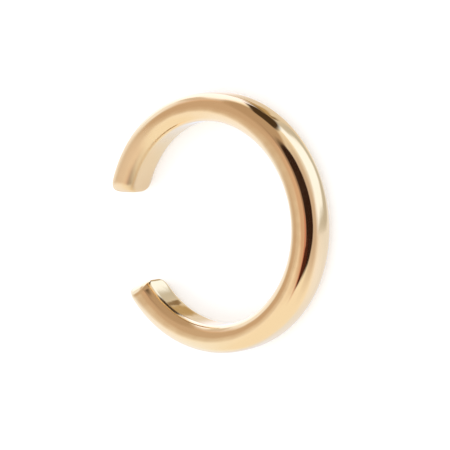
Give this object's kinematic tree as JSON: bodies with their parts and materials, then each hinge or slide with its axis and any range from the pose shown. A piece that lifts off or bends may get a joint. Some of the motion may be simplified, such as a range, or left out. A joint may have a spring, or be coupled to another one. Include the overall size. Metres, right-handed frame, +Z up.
{
  "type": "ear cuff",
  "caption": "Plain ear cuff: a polished gold-coloured open ring with a domed outside and a flat inner wall, worn clipped over the rim of the ear.",
  "frame": {"origin": "centre of the ring on the plane that its lower side rests on", "axes": "+Z up along the ring's axis, -X from the centre through the middle of the gap, +Y across the gap"},
  "size_m": [0.0122, 0.0128, 0.002],
  "materials": {
    "polished_gold": "mirror-polished warm gold plating"
  },
  "bodies": {
    "root": {"cuff_band": "polished_gold"}
  },
  "joints": []
}
